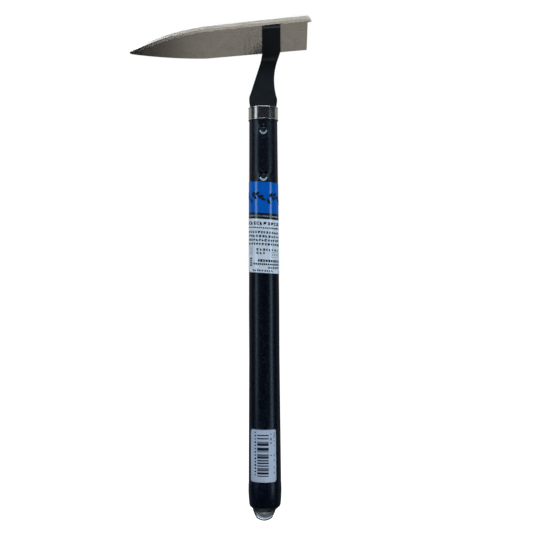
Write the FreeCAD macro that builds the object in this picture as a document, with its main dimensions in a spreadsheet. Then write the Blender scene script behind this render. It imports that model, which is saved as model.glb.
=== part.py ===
import FreeCAD, Part
import math
import os

import Sketcher
from FreeCAD import Placement, Rotation, Vector

# A long-handled hand sickle for weeding. A stainless leaf blade leans back towards the user at the
# end of a black steel neck, whose tang is pinned inside a turned, black-painted wooden handle. A
# steel ferrule closes the handle's mouth and a strap loop at the butt hangs the tool up.
#
# Frame: millimetres, +Z along the handle from the butt to the blade, -Y towards the user, and the
# blade's point towards -X. The origin is on the handle's axis, at the middle of the grip.

SIZES = {
    # Blade, in its own plane: u runs along X, v across the blade from the back to the cutting edge.
    "blade_lean": 50.0,           # degrees between the blade and the handle
    "blade_thickness": 1.8,
    "blade_face_y": -2.5,         # where u = v = 0 lies
    "blade_face_z": 224.7,
    "edge_joint_u": -42.2,        # the cutting edge is two tangent arcs that meet here
    "edge_joint_v": 24.0,
    "edge_joint_angle": 7.6,
    "edge_heel_radius": 2500.0,
    "edge_tip_radius": 162.0,
    "facet_drop": 1.9,            # width of the sharpened facet along the edge
    "facet_depth": 0.55,          # how far below the face the two bevels meet
    "facet_tip_radius": 184.0,
    "bevel_drop": 3.75,           # width of the whole ground bevel
    "bevel_tip_radius": 166.0,
    "heel_u": 35.3,
    "heel_foot_v": 2.05,
    "spur_v": 28.9,               # a small spur stands out at the heel end of the bevel
    "spur_reach": 3.1,
    "spur_foot_v": 28.1,
    "heel_corner_u": 36.1,
    "heel_corner_v": 32.85,
    "back_joint_u": -46.0,        # the back is a straight line, then one arc to the point
    "back_joint_v": -6.05,
    "back_tip_u": -106.9,
    "back_tip_v": -1.26,
    "back_tip_radius": 350.0,
    "nose_u": -107.6,             # the point itself is slightly rounded
    "nose_v": 0.15,
    "nose_radius": 1.0,
    # Neck: a flat forged bar whose top is bent over to lie on the blade's inner face.
    "strap_left_u": -0.6,
    "strap_right_u": 13.8,
    "strap_foot_right_u": 14.2,
    "strap_top_v": 24.9,
    "strap_top_rise": 1.15,
    "strap_thickness": 3.6,
    "bend_inner_radius": 5.0,
    "bend_lap": 4.0,
    "bend_corner_rise": 3.4,
    "neck_thickness": 4.0,
    "neck_base_half": 11.3,
    "neck_base_z": 187.0,
    "neck_base_round": 8.0,
    "neck_base_land": 2.0,
    "neck_mouth_half": 10.5,
    "neck_mouth_drop": 0.5,
    "neck_knee_x": -10.3,
    "neck_knee_z": 191.0,
    "neck_shin_x": -3.6,
    "neck_shin_z": 211.5,
    "neck_shin_radius": 60.0,
    "neck_left_top_z": 224.0,
    "neck_right_top_x": 12.7,
    "neck_right_top_z": 221.4,
    "neck_waist_radius": 51.0,
    "tang_half_width": 4.0,
    "tang_foot_z": 112.0,
    "tang_point": 3.0,
    "tang_clearance": 0.25,
    # Ferrule.
    "ferrule_foot_z": 169.4,
    "ferrule_height": 10.6,
    "ferrule_radius": 11.85,
    "ferrule_wall": 0.9,
    "lip_height": 1.0,
    "lip_swell": 0.25,
    "top_lip_swell": 0.15,
    "lip_round": 0.3,
    # Handle.
    "tenon_height": 8.4,
    "tenon_radius": 10.9,
    "wood_top_radius": 11.4,
    "grip_radius": 12.33,
    "grip_half_length": 20.0,
    "taper_foot_radius": 13.2,
    "taper_foot_z": -122.0,
    "swell_radius": 100.0,
    "shoulder_radius": 12.75,
    "shoulder_z": -140.4,
    "shoulder_round": 3.2,
    "chamfer_top_radius": 12.0,
    "chamfer_top_z": -142.3,
    "butt_flat_radius": 9.8,
    "butt_round": 0.6,
    "butt_round_rise": 0.4,
    "butt_z": -144.6,
    "boss_foot_z": -146.55,        # a short round boss under the butt, between the loop's legs
    "boss_clearance": 0.8,
    # Pins through the handle and the tang, each in a round dimple.
    "upper_pin_z": 161.3,
    "lower_pin_z": 124.1,
    "pin_radius": 2.1,
    "pin_half_length": 10.0,
    "pin_crown": 0.6,
    "dimple_floor": 10.3,
    "dimple_floor_radius": 2.3,
    "dimple_flare": 55.0,
    "dimple_reach": 4.0,
    # Hanging loop at the butt.
    "loop_radius": 9.3,
    "loop_centre_z": -142.7,
    "loop_shift": -0.6,
    "loop_wall": 1.0,
    "loop_half_width": 9.5,
    "leg_half_width": 4.0,
    "leg_top_z": -127.5,
    "kerf_depth": 30.0,
    "loop_flare_z": -145.3,
    "loop_flare_drop": 3.2,
    "loop_flare_radius": 4.2,
    "loop_pin_radius": 1.1,
    "loop_pin_z": -133.5,
    "loop_pin_half_length": 12.9,
    # Paper labels.
    "wrap_top_z": 119.2,
    "wrap_foot_z": 46.4,
    "wrap_tilt": 3.8,
    "label_thickness": 0.2,
    "sticker_top_z": -78.8,
    "sticker_foot_z": -120.6,
    "sticker_sweep": 100.6,
    "sticker_turn": -6.9,
    "sticker_corner": 2.0,
    # Weld bead along the back of the blade, behind the neck.
    "weld_radius": 1.3,
    "weld_start_u": 0.6,
    "weld_length": 12.0,
    "weld_sink": 0.3,
    "weld_depth": 0.8,
}

doc = FreeCAD.newDocument("hand_sickle")
sheet = doc.addObject("Spreadsheet::Sheet", "Sizes")
for row, (alias, value) in enumerate(SIZES.items(), start=1):
    sheet.set(f"A{row}", alias)
    sheet.set(f"B{row}", str(value))
    sheet.setAlias(f"B{row}", alias)
doc.recompute()


class Size:
    """A length or angle that keeps its number and the spreadsheet expression it comes from."""

    def __init__(self, value, text):
        self.value = value
        self.text = text

    def __add__(self, other):
        other = as_size(other)
        return Size(self.value + other.value, f"({self.text} + {other.text})")

    def __sub__(self, other):
        other = as_size(other)
        return Size(self.value - other.value, f"({self.text} - {other.text})")

    def __rsub__(self, other):
        return as_size(other) - self

    def __mul__(self, other):
        other = as_size(other)
        return Size(self.value * other.value, f"({self.text} * {other.text})")

    def __truediv__(self, other):
        other = as_size(other)
        return Size(self.value / other.value, f"({self.text} / {other.text})")

    def __neg__(self):
        return Size(-self.value, f"(0 - {self.text})")

    __radd__ = __add__
    __rmul__ = __mul__


def as_size(number):
    return number if isinstance(number, Size) else Size(float(number), str(float(number)))


def size(alias):
    return Size(float(SIZES[alias]), f"Sizes.{alias}")


def sin(angle):
    return Size(math.sin(math.radians(angle.value)), f"sin({angle.text})")


def cos(angle):
    return Size(math.cos(math.radians(angle.value)), f"cos({angle.text})")


def tan(angle):
    return Size(math.tan(math.radians(angle.value)), f"tan({angle.text})")


def root(area):
    return Size(math.sqrt(area.value), f"sqrt({area.text})")


def arctan(slope):
    return Size(math.degrees(math.atan(slope.value)), f"atan({slope.text})")


def bind(obj, prop, amount):
    obj.setExpression(prop, as_size(amount).text)


def new_body(label):
    body = doc.addObject("PartDesign::Body", label)
    body.Label = label
    return body


def new_sketch(body, name, role):
    """An empty sketch on one of the body's own origin planes."""
    sketch = body.newObject("Sketcher::SketchObject", name)
    plane = next(item for item in body.Origin.OriginFeatures if item.Role == role)
    sketch.AttachmentSupport = [(plane, "")]
    sketch.MapMode = "FlatFace"
    return sketch


def hold_point(sketch, edge, end, x, y):
    """Hold one end of an edge at x, y; a zero coordinate is held by the axis itself."""
    for kind, coordinate, axis in (("DistanceX", as_size(x), -2), ("DistanceY", as_size(y), -1)):
        if coordinate.value == 0.0:
            sketch.addConstraint(Sketcher.Constraint("PointOnObject", edge, end, axis))
            continue
        index = sketch.addConstraint(Sketcher.Constraint(kind, -1, 1, edge, end, coordinate.value))
        bind(sketch, f"Constraints[{index}]", coordinate)


def add_edge(sketch, start, corner):
    """Add the line or arc that arrives at a corner. Returns its index, start and end numbers."""
    x0, y0 = as_size(start[0]).value, as_size(start[1]).value
    x1, y1 = as_size(corner[0]).value, as_size(corner[1]).value
    if len(corner) == 2:
        line = Part.LineSegment(Vector(x0, y0, 0), Vector(x1, y1, 0))
        return sketch.addGeometry(line, False), 1, 2
    radius, side = as_size(corner[2]), corner[3]
    chord = math.hypot(x1 - x0, y1 - y0)
    back = side * math.sqrt(radius.value ** 2 - (chord / 2) ** 2) / chord
    centre = Vector((x0 + x1) / 2 + (y1 - y0) * back, (y0 + y1) / 2 - (x1 - x0) * back, 0)
    ends = [Vector(x0, y0, 0), Vector(x1, y1, 0)]
    if side > 0:
        ends.reverse()
    angles = [math.atan2(point.y - centre.y, point.x - centre.x) for point in ends]
    circle = Part.Circle(centre, Vector(0, 0, 1), radius.value)
    edge = sketch.addGeometry(Part.ArcOfCircle(circle, angles[0], angles[1]), False)
    index = sketch.addConstraint(Sketcher.Constraint("Radius", edge, radius.value))
    bind(sketch, f"Constraints[{index}]", radius)
    return (edge, 1, 2) if side < 0 else (edge, 2, 1)


def add_loop(sketch, corners):
    """Add a closed outline. A corner is (x, y), reached by a line, or (x, y, radius, side), reached
    by an arc that bulges to the left of its travel where side is 1 and to the right where it is -1."""
    edges = [add_edge(sketch, corners[number - 1], corner) for number, corner in enumerate(corners)]
    for number, (edge, _, end) in enumerate(edges):
        follower, start, _ = edges[(number + 1) % len(edges)]
        sketch.addConstraint(Sketcher.Constraint("Coincident", edge, end, follower, start))
        hold_point(sketch, edge, end, corners[number][0], corners[number][1])


def add_circle(sketch, x, y, radius):
    centre = Vector(as_size(x).value, as_size(y).value, 0)
    edge = sketch.addGeometry(Part.Circle(centre, Vector(0, 0, 1), radius.value), False)
    index = sketch.addConstraint(Sketcher.Constraint("Radius", edge, radius.value))
    bind(sketch, f"Constraints[{index}]", radius)
    hold_point(sketch, edge, 3, x, y)


def outline(body, name, role, *loops):
    sketch = new_sketch(body, name, role)
    for corners in loops:
        add_loop(sketch, corners)
    return sketch


def pad(body, name, sketch, length, symmetric=False):
    feature = body.newObject("PartDesign::Pad", name)
    feature.Profile = sketch
    feature.SideType = "Symmetric" if symmetric else "One side"
    bind(feature, "Length", length)
    return feature


def cut_through(body, name, sketch):
    """Cut a sketch right through the body, both ways from its plane."""
    feature = body.newObject("PartDesign::Pocket", name)
    feature.Profile = sketch
    feature.SideType = "Symmetric"
    feature.Type = "ThroughAll"
    return feature


def cut(body, name, sketch, depth, reversed_way=False, flare=0.0):
    """Cut a sketch to a depth; a flare in degrees widens the cut as it leaves the sketch's plane."""
    feature = body.newObject("PartDesign::Pocket", name)
    feature.Profile = sketch
    feature.Reversed = reversed_way
    bind(feature, "Length", depth)
    bind(feature, "TaperAngle", flare)
    return feature


def spin(body, name, sketch, angle=360.0):
    """Revolve a sketch about its vertical axis."""
    feature = body.newObject("PartDesign::Revolution", name)
    feature.Profile = sketch
    feature.ReferenceAxis = (sketch, ["V_Axis"])
    bind(feature, "Angle", angle)
    return feature


lean = size("blade_lean")


def lay_on_blade(obj, prop):
    """Bind a placement to the blade's inner face: u along X, v towards the cutting edge."""
    setattr(obj, prop, Placement(Vector(0, SIZES["blade_face_y"], SIZES["blade_face_z"]),
                                 Rotation(Vector(1, 0, 0), 90 + SIZES["blade_lean"])))
    bind(obj, f"{prop}.Base.y", size("blade_face_y"))
    bind(obj, f"{prop}.Base.z", size("blade_face_z"))
    bind(obj, f"{prop}.Rotation.Angle", lean + 90)


def edge_outline(body, name, drop, tip_radius, depth):
    """A slab outline under the cutting edge, which it follows a little way inside, at a depth."""
    left, right, floor = -118.0, 60.0, -30.0
    angle = size("edge_joint_angle")
    joint_u = size("edge_joint_u") + drop * sin(angle)
    joint_v = size("edge_joint_v") - drop * cos(angle)
    heel_radius = size("edge_heel_radius")
    centres = []
    for radius in (heel_radius, tip_radius):
        centres.append((joint_u + radius * sin(angle), joint_v - radius * cos(angle), radius))

    def on_arc(arc, u):
        centre_u, centre_v, radius = arc
        return centre_v + root(radius * radius - (u - centre_u) * (u - centre_u))

    corners = [
        (left, floor),
        (right, floor),
        (right, on_arc(centres[0], right)),
        (joint_u, joint_v, heel_radius, -1),
        (left, on_arc(centres[1], left), tip_radius, -1),
    ]
    sketch = outline(body, name, "XY_Plane", corners)
    bind(sketch, "AttachmentOffset.Base.z", -depth)
    return sketch


def make_blade():
    """A leaf blade: its back is flat, and the edge is ground from the inner face in two bevels."""
    body = new_body("blade")
    thickness = size("blade_thickness")
    zero = as_size(0.0)
    edge = edge_outline(body, "edge_line", zero, size("edge_tip_radius"), thickness)
    facet = edge_outline(body, "facet_line", size("facet_drop"), size("facet_tip_radius"),
                         size("facet_depth"))
    bevel = edge_outline(body, "bevel_line", size("bevel_drop"), size("bevel_tip_radius"), zero)
    slab = body.newObject("PartDesign::AdditiveLoft", "bevelled_slab")
    slab.Profile = edge
    slab.Sections = [facet, bevel]
    slab.Ruled = True
    doc.recompute()

    margin_left, margin_right, margin_top, margin_foot = -130.0, 70.0, 60.0, -45.0
    heel_u, above_edge = size("heel_u"), 50.0
    frame = [(margin_left, margin_foot), (margin_right, margin_foot),
             (margin_right, margin_top), (margin_left, margin_top)]
    window = [
        (heel_u, size("heel_foot_v")),
        (heel_u, size("spur_foot_v")),
        (heel_u + size("spur_reach"), size("spur_v")),
        (size("heel_corner_u"), size("heel_corner_v")),
        (size("heel_corner_u"), above_edge),
        (size("nose_u"), above_edge),
        (size("nose_u"), size("nose_v")),
        (size("back_tip_u"), size("back_tip_v"), size("nose_radius"), -1),
        (size("back_joint_u"), size("back_joint_v"), size("back_tip_radius"), -1),
    ]
    cut_through(body, "trimmed_outline", outline(body, "blade_outline", "XY_Plane", frame, window))
    lay_on_blade(body, "Placement")
    return body


def make_neck():
    """Tang, flared base, narrow neck, bend and the strap that lies on the blade."""
    body = new_body("neck")
    half = size("neck_thickness") / 2
    mouth, tang = size("neck_mouth_half"), size("tang_half_width")
    wood_top = size("ferrule_foot_z") + size("tenon_height")
    rim = size("ferrule_foot_z") + size("ferrule_height")
    base, base_z = size("neck_base_half"), size("neck_base_z")
    tang_foot, tang_point = size("tang_foot_z"), size("tang_point")
    mouth_z, land_z = rim - size("neck_mouth_drop"), base_z - size("neck_base_land")
    left, right_top = size("strap_left_u"), size("neck_right_top_x")
    front = [
        (left, size("neck_left_top_z")),
        (size("neck_shin_x"), size("neck_shin_z"), size("neck_shin_radius"), 1),
        (size("neck_knee_x"), size("neck_knee_z")),
        (-base, base_z, size("neck_base_round"), -1),
        (-base, land_z),
        (-mouth, mouth_z),
        (-mouth, wood_top),
        (-tang, wood_top),
        (-tang, tang_foot + tang_point),
        (0.0, tang_foot),
        (tang, tang_foot + tang_point),
        (tang, wood_top),
        (mouth, wood_top),
        (mouth, mouth_z),
        (base, land_z),
        (base, base_z),
        (right_top, size("neck_right_top_z"), size("neck_waist_radius"), 1),
        (right_top, size("neck_left_top_z")),
    ]
    pad(body, "neck_bar", outline(body, "neck_outline", "XZ_Plane", front), half * 2, symmetric=True)

    # The bend, seen from the side: up the bar, round the bend and on to the strap.
    face_y, face_z, strap = size("blade_face_y"), size("blade_face_z"), size("strap_thickness")
    along_y, along_z = -sin(lean), cos(lean)
    outer_v = (face_y - half) / sin(lean)
    inner_v = (face_y - strap * cos(lean) + half) / sin(lean)
    inner_radius = size("bend_inner_radius")
    outer_radius = inner_radius + strap
    inner_leg, outer_leg = inner_radius * tan(lean / 2), outer_radius * tan(lean / 2)
    lap, lap_below = size("bend_lap"), 5.0
    bar_foot = size("neck_right_top_z") - lap_below

    def on_face(v):
        return face_y + v * along_y, face_z + v * along_z

    def on_strap(v):
        y, z = on_face(v)
        return y - strap * cos(lean), z - strap * sin(lean)

    side = [
        (-half, bar_foot),
        (half, bar_foot),
        (half, on_face(outer_v)[1] - outer_leg),
        (*on_face(outer_v + outer_leg), outer_radius, -1),
        on_face(lap),
        on_strap(lap),
        on_strap(inner_v + inner_leg),
        (-half, on_strap(inner_v)[1] - inner_leg, inner_radius, 1),
    ]
    strap_left, strap_right = size("strap_left_u"), size("strap_foot_right_u")
    bend_sketch = outline(body, "bend_side", "YZ_Plane", side)
    bind(bend_sketch, "AttachmentOffset.Base.z", strap_left)
    pad(body, "bend", bend_sketch, strap_right - strap_left)

    foot = 1.0
    strap_outline = [
        (strap_left, foot),
        (strap_right, foot),
        (size("strap_right_u"), size("strap_top_v") + size("strap_top_rise")),
        (strap_left, size("strap_top_v")),
    ]
    strap_sketch = outline(body, "strap_outline", "XY_Plane", strap_outline)
    lay_on_blade(strap_sketch, "AttachmentOffset")
    pad(body, "strap", strap_sketch, strap)

    # The bar narrows below the bend, so the bend's right-hand corner is cut back to its outline.
    corner_z, margin = size("neck_right_top_z"), 3.0
    corner_top = corner_z + size("bend_corner_rise")
    corner = [
        (base, base_z),
        (right_top, corner_z, size("neck_waist_radius"), 1),
        (strap_right, corner_top),
        (strap_right + margin, corner_top),
        (strap_right + margin, base_z),
    ]
    cut_through(body, "bend_corner", outline(body, "bend_corner_outline", "XZ_Plane", corner))

    holes = new_sketch(body, "tang_holes", "XZ_Plane")
    for alias in ("upper_pin_z", "lower_pin_z"):
        add_circle(holes, 0.0, size(alias), size("pin_radius"))
    cut_through(body, "tang_pin_holes", holes)
    return body


def make_weld():
    """The bead that joins the blade's back edge to the bend, on the outer side."""
    body = new_body("weld_bead")
    rise = (size("heel_foot_v") - size("back_joint_v")) / (size("heel_u") - size("back_joint_u"))
    start_u = size("weld_start_u")
    back_v = size("heel_foot_v") - (size("heel_u") - start_u) * rise
    section = new_sketch(body, "bead_section", "YZ_Plane")
    add_circle(section, 0.0, 0.0, size("weld_radius"))
    section.AttachmentOffset = Placement(Vector(0, 0, 0), Rotation(Vector(0, 1, 0), arctan(rise).value))
    bind(section, "AttachmentOffset.Rotation.Angle", arctan(rise))
    bind(section, "AttachmentOffset.Base.x", back_v - size("weld_sink"))
    bind(section, "AttachmentOffset.Base.y", -size("weld_depth"))
    bind(section, "AttachmentOffset.Base.z", start_u)
    pad(body, "bead", section, size("weld_length"))
    lay_on_blade(body, "Placement")
    return body


def cut_away(name, base, tool):
    result = doc.addObject("Part::Cut", name)
    result.Base, result.Tool = base, tool
    result.Label = name
    return result


def make_ferrule():
    """A drawn steel tube with a small rolled lip at each end."""
    body = new_body("ferrule")
    foot = size("ferrule_foot_z")
    top = foot + size("ferrule_height")
    outer = size("ferrule_radius")
    inner = outer - size("ferrule_wall")
    lip, rounding = size("lip_height"), size("lip_round")
    swell, top_swell = size("lip_swell"), size("top_lip_swell")
    profile = [
        (inner, foot),
        (outer + swell - rounding, foot),
        (outer + swell, foot + rounding, rounding, -1),
        (outer + swell, foot + lip - rounding),
        (outer, foot + lip),
        (outer, top - lip),
        (outer + top_swell, top - lip + rounding),
        (outer + top_swell, top - rounding),
        (outer + top_swell - rounding, top, rounding, -1),
        (inner, top),
    ]
    spin(body, "tube", outline(body, "tube_profile", "XZ_Plane", profile))
    return body


def wood_radius(z, part):
    """The handle's radius at height z: above the grip where part is 1, below it where part is -1."""
    grip, land = size("grip_radius"), size("grip_half_length")
    if part > 0:
        end_radius, end_z = size("wood_top_radius"), size("ferrule_foot_z")
        return grip + (end_radius - grip) * (z - land) / (end_z - land)
    end_radius, end_z = size("taper_foot_radius"), size("taper_foot_z")
    return grip + (end_radius - grip) * (z + land) / (end_z + land)


def make_handle():
    """Turned wood: tenon, long taper, a cylindrical grip land, butt swell and chamfered end."""
    body = new_body("handle")
    wood_top = size("ferrule_foot_z") + size("tenon_height")
    tenon, foot = size("tenon_radius"), size("ferrule_foot_z")
    grip, land = size("grip_radius"), size("grip_half_length")
    butt, flat = size("butt_z"), size("butt_flat_radius")
    butt_round = size("butt_round")
    profile = [
        (0.0, butt),
        (flat - butt_round, butt),
        (flat, butt + size("butt_round_rise"), butt_round, -1),
        (size("chamfer_top_radius"), size("chamfer_top_z")),
        (size("shoulder_radius"), size("shoulder_z"), size("shoulder_round"), -1),
        (size("taper_foot_radius"), size("taper_foot_z"), size("swell_radius"), -1),
        (grip, -land),
        (grip, land),
        (size("wood_top_radius"), foot),
        (tenon, foot),
        (tenon, wood_top),
        (0.0, wood_top),
    ]
    spin(body, "turned_wood", outline(body, "handle_profile", "XZ_Plane", profile))

    # The boss follows the inside of the hanging loop, clear of it.
    round_radius = size("loop_radius") - size("loop_wall") - size("boss_clearance")
    loop_centre, boss_foot, root_rise = size("loop_centre_z"), size("boss_foot_z"), 0.5

    def boss_radius(z):
        return root(round_radius * round_radius - (z - loop_centre) * (z - loop_centre))

    boss_top = butt + root_rise
    boss = [
        (0.0, boss_foot),
        (boss_radius(boss_foot), boss_foot),
        (boss_radius(boss_top), boss_top, round_radius, -1),
        (0.0, boss_top),
    ]
    boss_sketch = outline(body, "boss_profile", "XZ_Plane", boss)
    bind(boss_sketch, "AttachmentOffset.Base.x", size("loop_shift"))
    spin(body, "boss", boss_sketch)

    gap = size("tang_clearance")
    slot_x = size("tang_half_width") + gap
    slot_y = size("neck_thickness") / 2 + gap
    slot = outline(body, "tang_slot_outline", "XY_Plane",
                   [(-slot_x, -slot_y), (slot_x, -slot_y), (slot_x, slot_y), (-slot_x, slot_y)])
    bind(slot, "AttachmentOffset.Base.z", wood_top)
    room_below = 2.0
    cut(body, "tang_slot", slot, wood_top - size("tang_foot_z") + room_below)

    holes = new_sketch(body, "pin_holes", "XZ_Plane")
    for alias in ("upper_pin_z", "lower_pin_z"):
        add_circle(holes, 0.0, size(alias), size("pin_radius"))
    cut_through(body, "pin_bores", holes)
    for side_name, side in (("user", 1), ("far", -1)):
        ring = new_sketch(body, f"{side_name}_dimples", "XZ_Plane")
        for alias in ("upper_pin_z", "lower_pin_z"):
            add_circle(ring, 0.0, size(alias), size("dimple_floor_radius"))
        bind(ring, "AttachmentOffset.Base.z", size("dimple_floor") * side)
        cut(body, f"{side_name}_dimple_cut", ring, size("dimple_reach"), side > 0, size("dimple_flare"))

    loop_outer = size("loop_radius")
    loop_inner = loop_outer - size("loop_wall")
    leg, shift = size("leg_half_width"), size("loop_shift")
    kerfs = []
    for side in (-1, 1):
        near, far = side * loop_inner + shift, side * loop_outer + shift
        kerfs.append([(near, -leg), (far, -leg), (far, leg), (near, leg)])
    kerf_sketch = outline(body, "loop_kerf_outline", "XY_Plane", *kerfs)
    bind(kerf_sketch, "AttachmentOffset.Base.z", size("leg_top_z"))
    cut(body, "loop_kerfs", kerf_sketch, size("kerf_depth"))
    bore = new_sketch(body, "loop_pin_bore", "YZ_Plane")
    add_circle(bore, 0.0, size("loop_pin_z"), size("loop_pin_radius"))
    cut_through(body, "loop_pin_hole", bore)
    return body


def make_tang_pin(label, height):
    """A steel pin across handle and tang, crowned at both ends."""
    body = new_body(label)
    radius, half, crown = size("pin_radius"), size("pin_half_length"), size("pin_crown")
    crown_radius = (radius * radius + crown * crown) / (crown * 2)
    profile = [
        (0.0, -half - crown),
        (radius, -half, crown_radius, -1),
        (radius, half),
        (0.0, half + crown, crown_radius, -1),
    ]
    spin(body, f"{label}_turned", outline(body, f"{label}_profile", "XY_Plane", profile))
    bind(body, "Placement.Base.z", height)
    return body


def make_hanging_loop():
    """A steel strap bent to a U, broad at the bottom, with narrow legs let into the butt."""
    body = new_body("hanging_loop")
    outer, centre = size("loop_radius"), size("loop_centre_z")
    inner = outer - size("loop_wall")
    top = size("leg_top_z")
    bend = [
        (-outer, top),
        (-outer, centre),
        (0.0, centre - outer, outer, -1),
        (outer, centre, outer, -1),
        (outer, top),
        (inner, top),
        (inner, centre),
        (0.0, centre - inner, inner, 1),
        (-inner, centre, inner, 1),
        (-inner, top),
    ]
    width = size("loop_half_width")
    pad(body, "strap_bend", outline(body, "strap_bend_outline", "XZ_Plane", bend), width * 2, True)
    leg, flare = size("leg_half_width"), size("loop_flare_z")
    margin, clear = 2.0, 0.2
    beyond, above, flare_foot = width + margin, top + margin, flare - size("loop_flare_drop")
    waists = []
    for side in (-1, 1):
        waists.append([
            (side * leg, above),
            (side * leg, flare),
            (side * (width + clear), flare_foot, size("loop_flare_radius"), -side),
            (side * beyond, flare_foot),
            (side * beyond, above),
        ])
    cut_through(body, "leg_waist", outline(body, "leg_waist_outline", "YZ_Plane", *waists))
    bore = new_sketch(body, "leg_bore", "YZ_Plane")
    add_circle(bore, 0.0, size("loop_pin_z"), size("loop_pin_radius"))
    cut_through(body, "leg_pin_hole", bore)
    bind(body, "Placement.Base.x", size("loop_shift"))
    return body


def make_loop_pin():
    """A plain wire pin across the butt, through both legs of the loop."""
    pin = doc.addObject("Part::Cylinder", "loop_pin")
    pin.Label = "loop_pin"
    bind(pin, "Radius", size("loop_pin_radius"))
    bind(pin, "Height", size("loop_pin_half_length") * 2)
    pin.Placement = Placement(Vector(0, 0, 0), Rotation(Vector(0, 1, 0), 90))
    bind(pin, "Placement.Base.x", -size("loop_pin_half_length"))
    bind(pin, "Placement.Base.z", size("loop_pin_z"))
    return pin


def skin_profile(top, foot, part):
    """A thin sheet's section that follows the handle's taper between two heights."""
    sheet_thickness = size("label_thickness")
    top_radius, foot_radius = wood_radius(top, part), wood_radius(foot, part)
    return [
        (foot_radius, foot),
        (foot_radius + sheet_thickness, foot),
        (top_radius + sheet_thickness, top),
        (top_radius, top),
    ]


def make_wrap_label():
    """A paper label wrapped round the handle a little out of square, so both its rims slant."""
    body = new_body("wrap_label")
    top, foot, tilt = size("wrap_top_z"), size("wrap_foot_z"), size("wrap_tilt")
    reach, spare, beyond = 15.0, 2.0, 9.0
    rise = reach * tan(tilt)
    profile = skin_profile(top + spare, foot - spare, 1)
    spin(body, "wrapped_sheet", outline(body, "wrap_profile", "XZ_Plane", profile))
    above = [(-reach, top + rise), (reach, top - rise), (reach, top + beyond), (-reach, top + beyond)]
    below = [(-reach, foot + rise), (-reach, foot - beyond), (reach, foot - beyond), (reach, foot - rise)]
    cut_through(body, "slanted_rims", outline(body, "rim_outline", "XZ_Plane", above, below))
    return body


def make_sticker():
    """A small rectangular sticker with rounded corners on the user's side of the butt."""
    body = new_body("barcode_sticker")
    top, foot, sweep = size("sticker_top_z"), size("sticker_foot_z"), size("sticker_sweep")
    profile = skin_profile(top, foot, -1)
    sheet_turn = spin(body, "sticker_sheet", outline(body, "sticker_profile", "XZ_Plane", profile), sweep)
    sheet_turn.Midplane = True
    corner = size("sticker_corner")
    beyond = 2.0
    corners = []
    for level, up in ((top, 1), (foot, -1)):
        edge_y = (wood_radius(level, -1) + size("label_thickness")) * sin(sweep / 2)
        inset_y = edge_y - corner * cos(sweep / 2)
        for side in (-1, 1):
            corners.append([
                (side * inset_y, level),
                (side * edge_y, level - up * corner, corner, side * up),
                (side * (edge_y + beyond), level - up * corner),
                (side * (edge_y + beyond), level + up * beyond),
                (side * inset_y, level + up * beyond),
            ])
    cut_through(body, "rounded_corners", outline(body, "corner_outline", "YZ_Plane", *corners))
    body.Placement = Placement(Vector(0, 0, 0), Rotation(Vector(0, 0, -1), 90 - SIZES["sticker_turn"]))
    bind(body, "Placement.Rotation.Angle", 90 - size("sticker_turn"))
    return body


blade = make_blade()
neck = make_neck()
weld = cut_away("spine_weld", cut_away("weld_less_blade", make_weld(), blade), neck)
parts = [
    blade,
    neck,
    weld,
    make_ferrule(),
    make_handle(),
    make_tang_pin("upper_tang_pin", size("upper_pin_z")),
    make_tang_pin("lower_tang_pin", size("lower_pin_z")),
    make_hanging_loop(),
    make_loop_pin(),
    make_wrap_label(),
    make_sticker(),
]
doc.recompute()

failed = [item.Name for item in doc.Objects if {"Invalid", "Error"} & set(item.State)]
if failed:
    raise RuntimeError(f"these objects failed to recompute: {failed}")
for part in parts:
    if part.Shape.isNull() or not part.Shape.isValid() or not part.Shape.Solids:
        raise RuntimeError(f"{part.Label} has no valid solid")

os.makedirs("parts", exist_ok=True)
for part in parts:
    part.Shape.exportStep(f"parts/{part.Label}.step")
    box = part.Shape.BoundBox
    print(f"{part.Label:18s} {len(part.Shape.Solids)} solid {part.Shape.Volume:10.1f} mm3  "
          f"{box.XLength:6.1f} x {box.YLength:6.1f} x {box.ZLength:6.1f}")
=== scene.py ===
import math
import random

import bmesh
import bpy
from mathutils import Matrix, Vector


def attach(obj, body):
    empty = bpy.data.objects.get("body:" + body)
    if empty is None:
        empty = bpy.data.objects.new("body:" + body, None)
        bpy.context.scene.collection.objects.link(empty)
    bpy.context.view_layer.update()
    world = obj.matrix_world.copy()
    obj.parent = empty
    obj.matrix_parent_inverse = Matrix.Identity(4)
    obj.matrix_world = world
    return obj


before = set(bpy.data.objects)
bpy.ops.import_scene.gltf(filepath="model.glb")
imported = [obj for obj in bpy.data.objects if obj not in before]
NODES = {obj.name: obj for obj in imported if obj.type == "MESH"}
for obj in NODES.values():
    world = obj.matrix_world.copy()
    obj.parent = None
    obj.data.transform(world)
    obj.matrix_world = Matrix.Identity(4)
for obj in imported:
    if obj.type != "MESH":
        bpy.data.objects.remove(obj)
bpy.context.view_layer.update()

MM = 0.001

# ------------------------------------------------------------------------------------------------
# Sizes, in millimetres, shared with the CAD model.
# ------------------------------------------------------------------------------------------------
BLADE_TURN = math.radians(140.0)      # the blade's plane is tipped this far about X
GRIP_RADIUS, GRIP_HALF = 12.33, 20.0
WOOD_TOP_RADIUS, WOOD_TOP_Z = 11.4, 169.4
TAPER_FOOT_RADIUS, TAPER_FOOT_Z = 13.2, -122.0
PAPER = 0.2
LABEL_TILT = math.tan(math.radians(3.8))
LABEL_TOP, LABEL_FOOT = 119.2, 46.4
BLUE_FOOT, BLACK_FOOT = 94.3, 89.4
STICKER_TOP, STICKER_FOOT = -78.8, -120.6
PIN_HEIGHTS = (161.3, 124.1)
STICKER_TURN = math.radians(-6.9)

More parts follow.
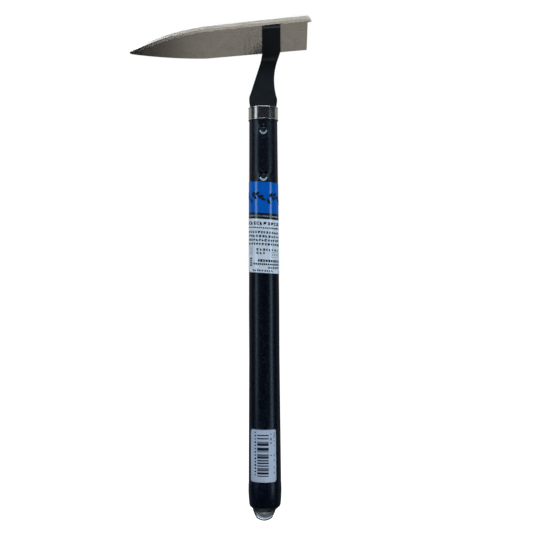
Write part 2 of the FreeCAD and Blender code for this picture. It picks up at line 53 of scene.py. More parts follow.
# ------------------------------------------------------------------------------------------------
# Sizes that only the looks need, in millimetres.
# ------------------------------------------------------------------------------------------------
POOL_RADIUS, POOL_FADE = 3.9, 4.4     # the glossier lacquer round each pin fades between these
POOL_GLOSS = (0.09, 0.17)             # how much smoother it is at the upper and the lower pin
RIM_ROUND = 0.6                       # rounding shown on the handle's edges
ETCH_LEFTS, ETCH_WIDTH = (-15.4, -11.6), 1.9
ETCH_FOOT, ETCH_TOP = 221.4, 233.8
INK_LIFT, BAR_LIFT, TINT_LIFT, LAP_LIFT = 0.05, 0.04, 0.025, 0.09
INK_SINK = 0.03                       # each printed patch reaches this far into the paper
BOX_LINE = 0.3
BAR_START, BAR_END = -4.6, 4.7
LAP_START, LAP_END, LAP_INSET = 7.0, 1.5, 0.05    # the overlap, measured back from half a turn
SPRIG_Z, SPRIG_SIZE = 106.0, 1.15
STRIP_Z = 91.8                        # the row of marks on the black strip
PRINT_SEED = 11


def wood_radius(z):
    """The handle's radius at height z, in millimetres."""
    if z > GRIP_HALF:
        share = (z - GRIP_HALF) / (WOOD_TOP_Z - GRIP_HALF)
        return GRIP_RADIUS + (WOOD_TOP_RADIUS - GRIP_RADIUS) * share
    if z < -GRIP_HALF:
        share = (z + GRIP_HALF) / (TAPER_FOOT_Z + GRIP_HALF)
        return GRIP_RADIUS + (TAPER_FOOT_RADIUS - GRIP_RADIUS) * share
    return GRIP_RADIUS


# ------------------------------------------------------------------------------------------------
# Node helpers.
# ------------------------------------------------------------------------------------------------
class Paint:
    """A node material, with short calls for the nodes used here."""

    def __init__(self, name):
        self.material = bpy.data.materials.new(name)
        self.material.use_nodes = True
        self.tree = self.material.node_tree
        self.shader = self.tree.nodes["Principled BSDF"]

    def put(self, kind, **settings):
        node = self.tree.nodes.new(kind)
        for key, value in settings.items():
            setattr(node, key, value)
        return node

    def plug(self, socket, value):
        if isinstance(value, bpy.types.NodeSocket):
            self.tree.links.new(value, socket)
        else:
            socket.default_value = value

    def set(self, **inputs):
        for key, value in inputs.items():
            if isinstance(value, tuple):
                value = (*value, 1.0)
            self.plug(self.shader.inputs[key.replace("_", " ")], value)

    def place(self, scale=(1, 1, 1), turn=(0, 0, 0)):
        """Object coordinates in millimetres, turned and scaled."""
        node = self.put("ShaderNodeMapping", vector_type="POINT")
        coordinates = self.put("ShaderNodeTexCoord").outputs["Object"]
        self.plug(node.inputs["Vector"], coordinates)
        node.inputs["Rotation"].default_value = turn
        node.inputs["Scale"].default_value = [value / MM for value in scale]
        return node.outputs["Vector"]

    def noise(self, vector, scale, detail=3.0, rough=0.5, distort=0.0):
        node = self.put("ShaderNodeTexNoise")
        self.plug(node.inputs["Vector"], vector)
        node.inputs["Scale"].default_value = scale
        node.inputs["Detail"].default_value = detail
        node.inputs["Roughness"].default_value = rough
        node.inputs["Distortion"].default_value = distort
        return node.outputs["Fac"]

    def spots(self, vector, scale):
        node = self.put("ShaderNodeTexVoronoi")
        self.plug(node.inputs["Vector"], vector)
        node.inputs["Scale"].default_value = scale
        return node.outputs["Distance"]

    def span(self, value, low, high, to_low=0.0, to_high=1.0):
        node = self.put("ShaderNodeMapRange", clamp=True)
        self.plug(node.inputs["Value"], value)
        for socket, number in zip(node.inputs[1:5], (low, high, to_low, to_high)):
            socket.default_value = number
        return node.outputs["Result"]

    def sum(self, first, second, kind="ADD"):
        node = self.put("ShaderNodeMath", operation=kind)
        self.plug(node.inputs[0], first)
        self.plug(node.inputs[1], second)
        return node.outputs[0]

    def times(self, first, second):
        return self.sum(first, second, "MULTIPLY")

    def mix(self, share, first, second):
        node = self.put("ShaderNodeMix", data_type="RGBA")
        self.plug(node.inputs["Factor"], share)
        for socket, value in ((node.inputs[6], first), (node.inputs[7], second)):
            self.plug(socket, (*value, 1.0) if isinstance(value, tuple) else value)
        return node.outputs[2]

    def now(self, name):
        """What a socket of the shader is linked to so far."""
        return self.shader.inputs[name].links[0].from_socket

    def axis(self, vector, name):
        node = self.put("ShaderNodeSeparateXYZ")
        self.plug(node.inputs[0], vector)
        return node.outputs[name]

    def facing(self, direction):
        """How squarely the surface faces a direction of the object: 1 faces it, -1 faces away."""
        node = self.put("ShaderNodeVectorMath", operation="DOT_PRODUCT")
        self.plug(node.inputs[0], self.flat_normal())
        node.inputs[1].default_value = direction
        return node.outputs["Value"]

    def flat_normal(self):
        """The normal of the face itself, with no smoothing across the crisp ground edges."""
        return self.put("ShaderNodeNewGeometry").outputs["True Normal"]

    def dull_rim(self, rough, extra):
        """Roughness that rises where the surface is seen edge-on."""
        weight = self.put("ShaderNodeLayerWeight").outputs["Facing"]
        return self.sum(rough, self.span(weight, 0.35, 0.75, 0.0, extra))

    def bump(self, height, depth, strength=1.0, before=None):
        """A bump of a depth in millimetres."""
        node = self.put("ShaderNodeBump")
        self.plug(node.inputs["Height"], height)
        node.inputs["Distance"].default_value = depth * MM
        node.inputs["Strength"].default_value = strength
        if before is not None:
            self.plug(node.inputs["Normal"], before)
        return node.outputs["Normal"]


def in_blade(vector):
    """Turn a direction in the blade's own axes into the row's axes."""
    return Matrix.Rotation(BLADE_TURN, 3, "X") @ Vector(vector)


# ------------------------------------------------------------------------------------------------
# Materials.
# ------------------------------------------------------------------------------------------------
def blade_steel():
    """Satin stainless: fine lines along the plate, coarser grinding across the bevel, and a
    brighter honed edge facet, partly a painted highlight.

    The back, away from the ground side, is darker and duller.
    """
    paint = Paint("blade_steel")
    turn = (-BLADE_TURN, 0, 0)
    flat = paint.place((1, 1, 1), turn)
    along = paint.noise(paint.place((0.02, 1.6, 1.6), turn), 1.0, 4.0, 0.6)
    brushed = paint.noise(paint.place((0.05, 1.6, 1.6), turn), 1.0, 1.0, 0.5)
    across = paint.noise(paint.place((1.4, 0.08, 0.08), turn), 1.0, 2.0, 0.5)
    cloud = paint.noise(flat, 0.035, 3.0, 0.55)
    rub = paint.noise(flat, 0.25, 4.0, 0.65)

    face = paint.facing(in_blade((0, 0, 1)))
    ground = paint.span(face, 0.985, 0.97)
    sharp = paint.span(face, 0.92, 0.88)
    back = paint.span(paint.facing(in_blade((0, 0, -1))), 0.9, 0.99)
    on_bevel = paint.sum(ground, back, "SUBTRACT")

    plate = paint.mix(paint.span(cloud, 0.35, 0.65), (0.50, 0.475, 0.43), (0.57, 0.545, 0.50))
    plate = paint.mix(paint.span(along, 0.3, 0.7, 0.0, 0.35), plate, (0.42, 0.40, 0.37))
    bevel = paint.mix(paint.span(across, 0.3, 0.7), (0.55, 0.53, 0.49), (0.64, 0.62, 0.58))
    # The honed edge facet is coloured brighter than the bevel: partly real honing, partly a painted
    # highlight.
    edge_with_painted_highlight = paint.mix(paint.span(across, 0.3, 0.7), (0.74, 0.72, 0.68), (0.84, 0.82, 0.78))
    color = paint.mix(on_bevel, plate, bevel)
    color = paint.mix(sharp, color, edge_with_painted_highlight)
    color = paint.mix(back, color, (0.24, 0.23, 0.215))
    x, z = paint.axis(paint.place(), "X"), paint.axis(paint.place(), "Z")
    etched = 0.0
    for left in ETCH_LEFTS:
        right = left + ETCH_WIDTH
        column = paint.times(paint.span(x, left, left + 0.1), paint.span(x, right, right - 0.1))
        etched = paint.sum(etched, column, "MAXIMUM")
    tall = paint.times(paint.span(z, ETCH_FOOT, ETCH_FOOT + 0.2),
                       paint.span(z, ETCH_TOP, ETCH_TOP - 0.2))
    flecks = paint.span(paint.noise(paint.place((1.5, 1.0, 1.2)), 1.0, 1.0, 0.5), 0.46, 0.54)
    on_plate = paint.span(face, 0.985, 0.995)
    etched = paint.times(paint.times(etched, tall), paint.times(flecks, on_plate))
    color = paint.mix(paint.times(etched, 0.45), color, (0.20, 0.19, 0.17))
    rough = paint.sum(paint.span(rub, 0.3, 0.7, 0.23, 0.29), paint.times(on_bevel, 0.14))
    rough = paint.sum(rough, paint.times(sharp, 0.18))
    rough = paint.sum(rough, paint.times(back, 0.30))
    paint.set(Base_Color=color, Metallic=1.0, Roughness=rough)
    lines = paint.mix(on_bevel, brushed, across)
    paint.set(Normal=paint.bump(lines, 0.001, 0.04))
    return paint.material


def black_paint(name, deep, pale, rough, level):
    """Sprayed black paint: dust, and rubbed places that shine a little more."""
    paint = Paint(name)
    flat = paint.place()
    cloud = paint.noise(flat, 0.06, 3.0, 0.6)
    rub = paint.noise(flat, 0.35, 4.0, 0.65)
    color = paint.mix(paint.span(cloud, 0.35, 0.7), deep, pale)
    dust = paint.span(paint.spots(flat, 0.55), 0.09, 0.05)
    specks = paint.times(dust, paint.span(cloud, 0.5, 0.62))
    color = paint.mix(paint.times(specks, 0.10), color, (0.10, 0.10, 0.10))
    paint.set(Base_Color=color, Roughness=paint.span(rub, 0.3, 0.7, rough - 0.05, rough + 0.07))
    paint.set(Specular_IOR_Level=level, Specular_Tint=(0.66, 0.84, 1.0))
    return paint


def peeled(paint, scale, depth):
    """The orange peel of a thick coat."""
    paint.set(Normal=paint.bump(paint.noise(paint.place(), scale, 2.0, 0.5), depth, 0.5))
    return paint.material


def neck_paint():
    """Black paint over forged steel: shallow hammer marks, and a duller sawn end at the top."""
    paint = black_paint("neck_paint", (0.0042, 0.0052, 0.0072), (0.0070, 0.0084, 0.0112),
                        rough=0.44, level=0.36)
    flat = paint.place()
    forged = paint.noise(flat, 0.16, 2.0, 0.45, 0.4)
    fine = paint.noise(flat, 1.3, 3.0, 0.6)
    paint.set(Normal=paint.bump(fine, 0.02, 0.5, before=paint.bump(forged, 0.25, 0.5)))
    sawn_end = paint.span(paint.facing(in_blade((0, 1, 0))), 0.90, 0.97)
    paint.set(Roughness=paint.sum(paint.now("Roughness"), paint.times(sawn_end, 0.5)))
    return paint.material


def handle_paint():
    """Black satin lacquer over turned wood: the grain runs along the handle under the paint.

    The lacquer has pooled in the two pin dimples, where it is glossier.
    """
    paint = black_paint("handle_paint", (0.0007, 0.0016, 0.0052), (0.0012, 0.0026, 0.0078),
                        rough=0.28, level=0.72)
    satin = paint.now("Roughness")
    flat = paint.place()
    x, z = paint.axis(flat, "X"), paint.axis(flat, "Z")
    pooled = 0.0
    for height, gloss in zip(PIN_HEIGHTS, POOL_GLOSS):
        rise = paint.sum(z, height, "SUBTRACT")
        reach = paint.sum(paint.sum(paint.times(x, x), paint.times(rise, rise)), 0.5, "POWER")
        near = paint.span(reach, POOL_RADIUS, POOL_FADE, gloss, 0.0)
        pooled = paint.sum(pooled, near, "MAXIMUM")
    paint.set(Roughness=paint.dull_rim(paint.sum(satin, pooled, "SUBTRACT"), 0.35))

    grain = paint.noise(paint.place((1.0, 1.0, 0.018)), 0.6, 2.0, 0.5, 0.25)
    rings = paint.noise(paint.place((0.05, 0.05, 1.4)), 1.0, 2.0, 0.5)
    rim = paint.put("ShaderNodeBevel", samples=6)
    rim.inputs["Radius"].default_value = RIM_ROUND * MM
    surface = paint.bump(grain, 0.045, 0.14, before=rim.outputs["Normal"])
    paint.set(Normal=paint.bump(rings, 0.008, 0.10, before=surface))
    return paint.material


def ferrule_steel():
    """A drawn and polished tube: fine turning lines round it, small smudges and scratches."""
    paint = Paint("ferrule_steel")
    flat = paint.place()
    turned = paint.noise(paint.place((0.04, 0.04, 2.5)), 1.0, 2.0, 0.5)
    smudge = paint.noise(flat, 0.22, 4.0, 0.6)
    scratch = paint.noise(paint.place((0.5, 0.5, 0.06)), 1.0, 2.0, 0.5)
    color = paint.mix(paint.span(smudge, 0.3, 0.7), (0.54, 0.54, 0.53), (0.60, 0.60, 0.59))
    color = paint.mix(paint.span(scratch, 0.62, 0.72, 0.0, 0.12), color, (0.40, 0.40, 0.40))
    paint.set(Base_Color=color, Metallic=1.0, Roughness=paint.span(smudge, 0.3, 0.75, 0.17, 0.22))
    paint.set(Normal=paint.bump(turned, 0.006, 0.12))
    return paint.material


def loop_steel():
    """Bent sheet steel: the inside is coloured pale blue-grey, partly a painted cool light from
    above, and the edges are painted near-black, a painted dark reflection.
    """
    paint = Paint("loop_steel")
    flat = paint.place()
    drawn = paint.noise(paint.place((1.0, 5.0, 1.0)), 0.5, 3.0, 0.6)
    cloud = paint.noise(flat, 0.3, 3.0, 0.6)
    # The edges facing front and back are painted near-black: a painted dark reflection.
    side = paint.facing((0, 1, 0))
    painted_dark_edges = paint.span(paint.times(side, side), 0.01, 0.05)
    # The inside's pale blue tint is partly painted cool light reflected from above.
    sheet = paint.mix(paint.span(cloud, 0.3, 0.7), (0.70, 0.78, 0.88), (0.82, 0.90, 0.98))
    color = paint.mix(painted_dark_edges, sheet, (0.006, 0.007, 0.010))
    paint.set(Base_Color=color, Metallic=paint.span(painted_dark_edges, 0, 1, 0.15, 0.05))
    paint.set(Roughness=paint.span(cloud, 0.3, 0.7, 0.66, 0.8), Specular_IOR_Level=0.3)
    paint.set(Normal=paint.bump(drawn, 0.01, 0.4))
    return paint.material


def paper(name, light, dark, rough, level):
    """Coated paper or print on it: faint fibres, a little tone, and small creases."""
    paint = Paint(name)
    flat = paint.place()
    fibres = paint.noise(flat, 1.6, 4.0, 0.7)
    cloud = paint.noise(flat, 0.07, 2.0, 0.5)
    crease = paint.noise(paint.place((1.0, 1.0, 0.12)), 0.35, 2.0, 0.5)
    color = paint.mix(paint.span(cloud, 0.3, 0.7), light, dark)
    shade = tuple(0.75 * part for part in dark)
    color = paint.mix(paint.span(fibres, 0.45, 0.75, 0.0, 0.12), color, shade)
    paint.set(Base_Color=color, Specular_IOR_Level=level, Specular_Tint=(0.30, 0.75, 1.0))
    coated = paint.span(cloud, 0.3, 0.7, rough - 0.04, rough + 0.05)
    paint.set(Roughness=paint.dull_rim(coated, 0.35))
    paint.set(Normal=paint.bump(fibres, 0.008, 0.35, before=paint.bump(crease, 0.05, 0.25)))
    return paint


def label_print():
    """The wrap label: a blue field over a black strip over white, along the label's own tilt.

    A laminate makes it glossier where it is seen squarely.
    """
    paint = paper("wrap_paper", (0.80, 0.90, 1.0), (0.74, 0.85, 0.98), 0.20, 1.0)
    white = paint.now("Base Color")
    flat = paint.place()
    along = paint.sum(paint.axis(flat, "Z"), paint.times(paint.axis(flat, "X"), LABEL_TILT))
    tone = paint.span(paint.noise(flat, 0.12, 3.0, 0.6), 0.3, 0.7)
    blue = paint.mix(tone, (0.0010, 0.120, 0.60), (0.0010, 0.105, 0.53))
    black = paint.mix(tone, (0.008, 0.010, 0.016), (0.012, 0.014, 0.020))
    color = paint.mix(paint.sum(along, BLACK_FOOT, "GREATER_THAN"), white, black)
    color = paint.mix(paint.sum(along, BLUE_FOOT, "GREATER_THAN"), color, blue)
    weight = paint.put("ShaderNodeLayerWeight").outputs["Facing"]
    laminate = paint.span(weight, 0.20, 0.34, 1.0, 0.0)
    paint.set(Base_Color=color, Coat_Weight=laminate, Coat_Roughness=0.13, Coat_IOR=1.7)
    return paint.material


STEEL = blade_steel()
NECK = neck_paint()
WOOD = handle_paint()
FERRULE = ferrule_steel()
LOOP = loop_steel()
PIN = peeled(black_paint("pin_paint", (0.0012, 0.0024, 0.006), (0.002, 0.0034, 0.008),
                         rough=0.42, level=0.5), scale=1.2, depth=0.03)
WELD = peeled(black_paint("weld_paint", (0.005, 0.0055, 0.007), (0.010, 0.011, 0.013),
                          rough=0.45, level=0.4), scale=0.7, depth=0.25)
LABEL = label_print()
INK = paper("print_ink", (0.010, 0.013, 0.024), (0.007, 0.009, 0.018), 0.35, 0.3).material
LEAF_INK = paper("leaf_ink", (0.012, 0.013, 0.008), (0.008, 0.009, 0.006), 0.33, 0.3).material
PALE_INK = paper("pale_ink", (0.36, 0.42, 0.50), (0.29, 0.34, 0.41), 0.35, 0.3).material
GREY_INK = paper("grey_ink", (0.14, 0.16, 0.21), (0.10, 0.12, 0.16), 0.35, 0.3).material
# The sticker is white paper; its dull blue-grey colour here is a painted shade for the weaker light
# low on the handle.
STICKER_PAINTED_SHADE = paper("sticker_white_painted_shade", (0.40, 0.475, 0.585), (0.36, 0.43, 0.545), 0.36, 0.4).material


# ------------------------------------------------------------------------------------------------
# Carried-over CAD nodes.
# ------------------------------------------------------------------------------------------------
def dress(node, material):
    part = NODES[node]
    part.data.materials.clear()
    part.data.materials.append(material)


for name, material in (("blade", STEEL), ("neck", NECK), ("spine_weld", WELD), ("ferrule", FERRULE),
                       ("handle", WOOD), ("upper_tang_pin", PIN), ("lower_tang_pin", PIN),
                       ("hanging_loop", LOOP), ("loop_pin", LOOP), ("wrap_label", LABEL),
                       ("barcode_sticker", STICKER_PAINTED_SHADE)):
    dress(name, material)


# ------------------------------------------------------------------------------------------------
# Printing: thin patches on the two papers. Nothing here is lettering.
# ------------------------------------------------------------------------------------------------
class Print:
    """Thin printed patches, drawn flat and then wrapped on the handle.

    s is the arc length round the handle from its front, towards +X, and z is the height.
    """

    STEP = 0.6           # the patches are cut this often along the arc, so that they follow it

    def __init__(self, name, material, slot, lift, tilt=0.0, turn=0.0):
        self.mesh = bmesh.new()
        self.name, self.material, self.slot_name = name, material, slot
        self.lift, self.tilt, self.turn = lift, tilt, turn

    def fill(self, outline):
        """One flat-printed shape from its outline points, in (s, z)."""
        self.mesh.faces.new([self.mesh.verts.new((s, z, self.lift)) for s, z in outline])

    def block(self, s0, s1, z0, z1):
        self.fill([(s0, z0), (s1, z0), (s1, z1), (s0, z1)])

    def frame(self, s0, s1, z0, z1):
        """The outline of a box."""
        for z in (z0, z1 - BOX_LINE):
            self.block(s0, s1, z, z + BOX_LINE)
        for s in (s0, s1 - BOX_LINE):
            self.block(s, s + BOX_LINE, z0 + BOX_LINE, z1 - BOX_LINE)

    def blob(self, s, z, wide, tall, count=8):
        """A rounded mark."""
        turns = [2 * math.pi * number / count for number in range(count)]
        self.fill([(s + wide / 2 * math.cos(turn), z + tall / 2 * math.sin(turn))
                   for turn in turns])

    def wrapped(self, place):
        """The point on the handle for a point of the flat drawing."""
        s, z, lift = place
        angle = s / wood_radius(z) + self.turn
        height = z - wood_radius(z) * math.sin(angle) * self.tilt
        radius = wood_radius(height) + PAPER + lift
        return Vector((radius * math.sin(angle), -radius * math.cos(angle), height)) * MM

    def make(self):
        reach = max(abs(corner.co.x) for corner in self.mesh.verts)
        for number in range(-int(reach / self.STEP), int(reach / self.STEP) + 1):
            everything = self.mesh.verts[:] + self.mesh.edges[:] + self.mesh.faces[:]
            bmesh.ops.bisect_plane(self.mesh, geom=everything, plane_co=(number * self.STEP, 0, 0),
                                   plane_no=(1, 0, 0))
        for corner in self.mesh.verts:
            corner.co = self.wrapped(corner.co)
        data = bpy.data.meshes.new(self.name)
        self.mesh.to_mesh(data)
        self.mesh.free()
        data.materials.append(self.material)
        piece = bpy.data.objects.new(self.name, data)
        bpy.context.scene.collection.objects.link(piece)
        sheet = piece.modifiers.new("ink", "SOLIDIFY")
        sheet.thickness = (self.lift + INK_SINK) * MM
        sheet.offset = -1.0
        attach(piece, "root")
        return piece


draw = random.Random(PRINT_SEED)


def text_row(sheet, start, end, z, tall, wide, gap, busy=3):
    """A row of small marks that stands for a line of print, without any letter in it."""
    s = start
    while s + wide * 0.4 < end:
        width = min(wide * draw.uniform(0.7, 1.2), end - s)
        strokes = draw.sample(range(4), busy)
        rise = tall * draw.uniform(0.8, 1.0)
        thick = min(tall * 0.40, 0.66)
        if 0 in strokes:
            sheet.block(s, s + width, z - rise / 2, z - rise / 2 + thick)
        if 1 in strokes:
            sheet.block(s, s + width, z + rise / 2 - thick, z + rise / 2)
        if 2 in strokes:
            sheet.block(s, s + thick, z - rise / 2, z + rise / 2)
        if 3 in strokes:
            sheet.blob(s + width / 2, z, width * 0.8, rise * 0.6)
        s += width + gap * draw.uniform(0.7, 1.4)


def paragraph(sheet, start, end, top, step, count, tall, wide, gap):
    """Rows of marks, from the top one down."""
    for number in range(count):
        text_row(sheet, start, end, top - step * number, tall, wide, gap)


def leaf(sheet, s, z, length, width, angle, count=10):
    """A pointed leaf shape, its foot at (s, z)."""
    cos, sin = math.cos(angle), math.sin(angle)
    points = []
    for number in range(2 * count):
        share = number / count if number < count else 2 - number / count
        side = 1 if number < count else -1
        along = share * length
        off = side * width / 2 * math.sin(math.pi * share) ** 0.7
        points.append((s + along * cos - off * sin, z + along * sin + off * cos))
    sheet.fill(points)


def sprig(sheet, s, z, size):
    """A low arching branch with small leaves set along it in turn."""
    steps, span, arch, twig = 7, 9.0 * size, 2.4 * size, 0.2
    knots = [number / (steps - 1) for number in range(steps)]
    branch = [(s + (share - 0.5) * span, z + arch * math.sin(math.pi * share)) for share in knots]
    for number, (share, (along, rise)) in enumerate(zip(knots, branch)):
        lean = math.radians(58 - 62 * share if number % 2 else -62 + 40 * share)
        leaf(sheet, along, rise, (4.4 - 1.2 * share) * size, 1.7 * size, lean)
        if number < steps - 1:
            ahead, next_rise = branch[number + 1]
            sheet.fill([(along, rise - twig), (ahead, next_rise - twig),
                        (ahead, next_rise + twig), (along, rise + twig)])


# The label's end lies over its start, down the back of the handle.
half_turn = math.pi * GRIP_RADIUS
lap = Print("label_overlap", LABEL, "label_paper", LAP_LIFT, LABEL_TILT)
lap.block(half_turn - LAP_START, half_turn - LAP_END,
          LABEL_FOOT + LAP_INSET, LABEL_TOP - LAP_INSET)
lap.make()

leaves = Print("label_leaves", LEAF_INK, "label_paper", INK_LIFT, LABEL_TILT)
for centre in (-7.0, 8.0, 23.0, -22.0, 36.5):
    sprig(leaves, centre, SPRIG_Z, SPRIG_SIZE)
leaves.make()

# Rows of marks on the label: start and end along the arc, height, then the size of a mark.
pale = Print("label_strip_marks", PALE_INK, "label_paper", INK_LIFT, LABEL_TILT)
for start, end in ((-18.0, 18.0), (21.0, 30.0)):
    text_row(pale, start, end, STRIP_Z, tall=1.3, wide=0.9, gap=0.75)
pale.make()

rows = Print("label_print_rows", INK, "label_paper", INK_LIFT, LABEL_TILT)
text_row(rows, -17.0, 17.0, 85.9, tall=2.7, wide=2.3, gap=0.9)
text_row(rows, -17.0, 17.0, 82.4, tall=1.2, wide=1.1, gap=0.4, busy=4)
paragraph(rows, -16.5, 16.0, top=78.8, step=3.15, count=4, tall=1.9, wide=1.6, gap=0.75)
text_row(rows, -6.0, 14.5, 65.0, tall=1.8, wide=1.5, gap=1.0)
text_row(rows, -6.0, 0.8, 62.2, tall=1.8, wide=1.5, gap=0.9)
text_row(rows, -4.7, 15.5, 56.2, tall=2.1, wide=1.7, gap=0.55, busy=4)
text_row(rows, -9.6, 15.5, 53.4, tall=1.5, wide=1.2, gap=0.4, busy=4)
text_row(rows, 3.5, 15.0, 50.8, tall=1.6, wide=1.4, gap=0.7)
text_row(rows, -9.6, 8.0, 48.2, tall=1.4, wide=1.2, gap=0.7)
for z in (52.0, 53.8, 55.6, 57.4):
    text_row(rows, -13.4, -10.4, z, tall=1.4, wide=1.3, gap=0.3, busy=4)
for start, end, count in ((21.0, 30.0, 9), (-34.0, -21.0, 6)):
    paragraph(rows, start, end, top=85.0, step=3.6, count=count, tall=1.5, wide=1.4, gap=1.0)
rows.make()

boxes = Print("label_boxes", PALE_INK, "label_paper", INK_LIFT, LABEL_TILT)
boxes.frame(6.0, 13.5, 59.0, 63.4)
boxes.frame(-13.8, -10.0, 60.0, 67.2)
boxes.frame(-34.0, -21.0, 50.0, 60.0)
text_row(boxes, 6.8, 13.0, 61.2, tall=1.6, wide=1.2, gap=0.5)
for z in (61.8, 63.6, 65.4):
    text_row(boxes, -13.0, -10.8, z, tall=1.0, wide=0.9, gap=0.4)
boxes.make()

# ------------------------------------------------------------------------------------------------
# Sticker: bars of no code, with small marks beside them.
# ------------------------------------------------------------------------------------------------
bars = Print("sticker_bars", INK, "sticker_paper", BAR_LIFT, 0.0, STICKER_TURN)
for drop, width in ((4.4, 0.9), (7.0, 1.0), (11.8, 1.8), (15.3, 2.0), (19.9, 0.5), (22.1, 1.2),
                    (24.5, 1.1), (26.7, 0.9), (28.7, 1.0), (31.0, 0.4), (32.3, 0.4), (34.6, 1.7),
                    (36.8, 0.8)):
    z = STICKER_TOP - drop
    bars.block(BAR_START, BAR_END, z - width / 2, z + width / 2)
bars.make()

# Paler bands between the bars.
tint = Print("sticker_tint", GREY_INK, "sticker_paper", TINT_LIFT, 0.0, STICKER_TURN)
for top, foot in ((9.3, 11.5), (14.0, 16.8), (17.0, 17.9), (19.3, 23.0), (25.8, 26.8),
                  (30.2, 33.0)):
    tint.block(BAR_START, BAR_END, STICKER_TOP - foot, STICKER_TOP - top)
tint.make()

marks = Print("sticker_marks", INK, "sticker_paper", BAR_LIFT, 0.0, STICKER_TURN)
z = STICKER_TOP - 2.2
while z > STICKER_FOOT + 5.5:
    marks.blob(-6.4, z, draw.uniform(1.2, 1.9), draw.uniform(1.2, 1.8))
    z -= 2.6
for drop in (3.4, 6.9, 7.9, 10.6, 20.4):
    marks.blob(6.6, STICKER_TOP - drop, 1.2, draw.uniform(0.9, 1.6))
for top, foot in ((2.2, 6.8), (8.6, 9.8), (12.0, 13.2), (19.5, 21.4), (23.6, 25.5), (29.4, 31.0),
                  (33.6, 35.4)):
    marks.block(9.2, 9.7, STICKER_TOP - foot, STICKER_TOP - top)
marks.make()

# ------------------------------------------------------------------------------------------------
# Floor, light and camera.
# ------------------------------------------------------------------------------------------------
FLOOR_REACH, FLOOR_LEVEL = 60.0, -0.30        # metres
COOL, WARM = (0.86, 0.94, 1.0), (1.0, 0.955, 0.89)
# Surround by direction, from in front of the tool (0) to behind it (1).
SURROUND = ((0.0, (0.011, 0.014, 0.024, 1.0)),
            (0.62, (0.022, 0.025, 0.034, 1.0)),
            (0.68, (0.40, 0.39, 0.37, 1.0)))
HORIZON_LOW, HORIZON_HIGH, BELOW_STRENGTH = 0.05, 0.15, 0.22
LENS, SENSOR, SHIFT = 60.788, 36.0, 0.006567  # the first two in millimetres
CAMERA_PLACE = (2.07 * MM, -730.0 * MM, 48.7 * MM)
CAMERA_ROLL = 0.00466                         # radians


def floor():
    """A plain pale floor, well below the tool, which is held by its grip."""
    data = bpy.data.meshes.new("floor")
    corners = ((-1, -1), (1, -1), (1, 1), (-1, 1))
    data.from_pydata([(FLOOR_REACH * x, FLOOR_REACH * y, FLOOR_LEVEL) for x, y in corners],
                     [], [(0, 1, 2, 3)])
    piece = bpy.data.objects.new("floor", data)
    bpy.context.scene.collection.objects.link(piece)
    paint = Paint("floor_pale")
    paint.set(Base_Color=(0.30, 0.30, 0.30), Roughness=0.9, Specular_IOR_Level=0.0)
    paint.set(Emission_Color=(1.0, 1.0, 1.0), Emission_Strength=1.0)
    data.materials.append(paint.material)
    piece.visible_glossy = False
    piece.visible_diffuse = False
    piece.visible_shadow = False


def lamp(name, place, aim, size, watts, color, beam=180.0):
    """A rectangular soft lamp; a beam below 180 degrees is a grid in front of it."""
    data = bpy.data.lights.new(name, "AREA")
    data.shape = "RECTANGLE"
    data.size, data.size_y = size
    data.energy, data.color = watts, color
    data.spread = math.radians(beam)
    piece = bpy.data.objects.new(name, data)
    piece.location = place
    direction = Vector(aim) - Vector(place)
    piece.rotation_mode = "QUATERNION"
    piece.rotation_quaternion = direction.to_track_quat("-Z", "Y")
    piece.visible_camera = False
    bpy.context.scene.collection.objects.link(piece)


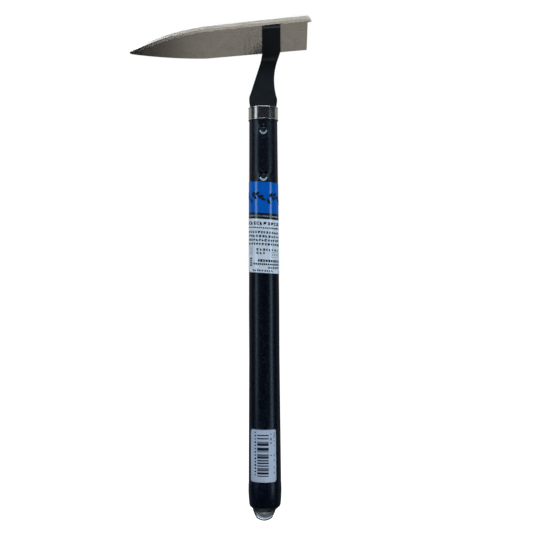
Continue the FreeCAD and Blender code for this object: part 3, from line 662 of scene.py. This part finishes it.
def surround():
    """Plain white to the camera. To the tool it is dark in front, and pale behind.

    It is weaker below the horizon than above it.
    """
    world = bpy.data.worlds.new("studio")
    bpy.context.scene.world = world
    world.use_nodes = True
    tree = world.node_tree
    tree.nodes.clear()
    out = tree.nodes.new("ShaderNodeOutputWorld")
    mixed = tree.nodes.new("ShaderNodeMixShader")
    seen = tree.nodes.new("ShaderNodeBackground")
    around = tree.nodes.new("ShaderNodeBackground")
    path = tree.nodes.new("ShaderNodeLightPath")
    place = tree.nodes.new("ShaderNodeTexCoord")
    split = tree.nodes.new("ShaderNodeSeparateXYZ")
    ramp = tree.nodes.new("ShaderNodeValToRGB")
    span = tree.nodes.new("ShaderNodeMapRange")
    rise = tree.nodes.new("ShaderNodeMapRange")

    seen.inputs["Color"].default_value = (1.0, 1.0, 1.0, 1.0)
    span.inputs["From Min"].default_value = -1.0
    span.inputs["From Max"].default_value = 1.0
    rise.inputs["From Min"].default_value = HORIZON_LOW
    rise.inputs["From Max"].default_value = HORIZON_HIGH
    rise.inputs["To Min"].default_value = BELOW_STRENGTH
    (front, middle, back), stops = SURROUND, ramp.color_ramp.elements
    stops[0].position, stops[0].color = front
    stops[1].position, stops[1].color = back
    stops.new(middle[0]).color = middle[1]

    for start, end in ((place.outputs["Generated"], split.inputs[0]),
                       (split.outputs["Y"], span.inputs["Value"]),
                       (span.outputs["Result"], ramp.inputs["Fac"]),
                       (split.outputs["Z"], rise.inputs["Value"]),
                       (rise.outputs["Result"], around.inputs["Strength"]),
                       (ramp.outputs["Color"], around.inputs["Color"]),
                       (path.outputs["Is Camera Ray"], mixed.inputs["Fac"]),
                       (around.outputs[0], mixed.inputs[1]),
                       (seen.outputs[0], mixed.inputs[2]),
                       (mixed.outputs[0], out.inputs["Surface"])):
        tree.links.new(start, end)


def lamps():
    """Soft lamps round the tool, then weak fills from below and in front for the bare steel."""
    lamp("left_strip", (-1.04, -0.60, 0.26), (0, 0, 0.26), (0.36, 0.97), 1.45, COOL)
    lamp("right_strip", (0.99, -0.67, -0.08), (0, 0, -0.08), (0.30, 0.69), 1.15, COOL)
    lamp("overhead", (0.0, -0.75, 1.95), (0, 0, 0.1), (2.8, 1.2), 64.0, COOL)
    lamp("upper_left", (-0.94, -0.33, 0.91), (0, 0, 0.14), (0.40, 0.40), 4.6, COOL)
    lamp("upper_right", (0.94, -0.33, 0.91), (0, 0, 0.14), (0.40, 0.40), 6.4, COOL)
    lamp("loop_fill", (0.0, -0.60, 0.28), (0, 0, -0.150), (0.20, 0.20), 0.052, COOL, 9.0)
    lamp("under_panel", (0.12, 0.0, -0.17), (0.12, 0.0, 0.2), (0.46, 0.40), 0.034, WARM, 70.0)
    lamp("low_front", (-0.08, -0.67, -0.58), (-0.03, 0, 0.235), (0.75, 0.20), 0.023, WARM, 16.0)
    lamp("edge_front", (-0.12, -1.07, -0.118), (-0.03, 0, 0.24), (0.70, 0.12), 0.046, WARM, 12.0)
    lamp("tip_front", (-0.66, -0.93, -0.20), (-0.1, 0, 0.24), (0.55, 0.45), 0.023, WARM, 12.0)


def camera():
    """The photograph's view: level, at the height of the label's foot, and slightly rolled."""
    data = bpy.data.cameras.new("camera")
    data.lens, data.sensor_width, data.shift_y = LENS, SENSOR, SHIFT
    data.clip_start, data.clip_end = 0.02, 200.0
    piece = bpy.data.objects.new("camera", data)
    piece.location = CAMERA_PLACE
    piece.rotation_euler = (math.radians(90.0), CAMERA_ROLL, 0.0)
    bpy.context.scene.collection.objects.link(piece)
    bpy.context.scene.camera = piece


floor()
surround()
lamps()
camera()
bpy.context.scene.view_settings.view_transform = "Standard"

bpy.context.view_layer.update()
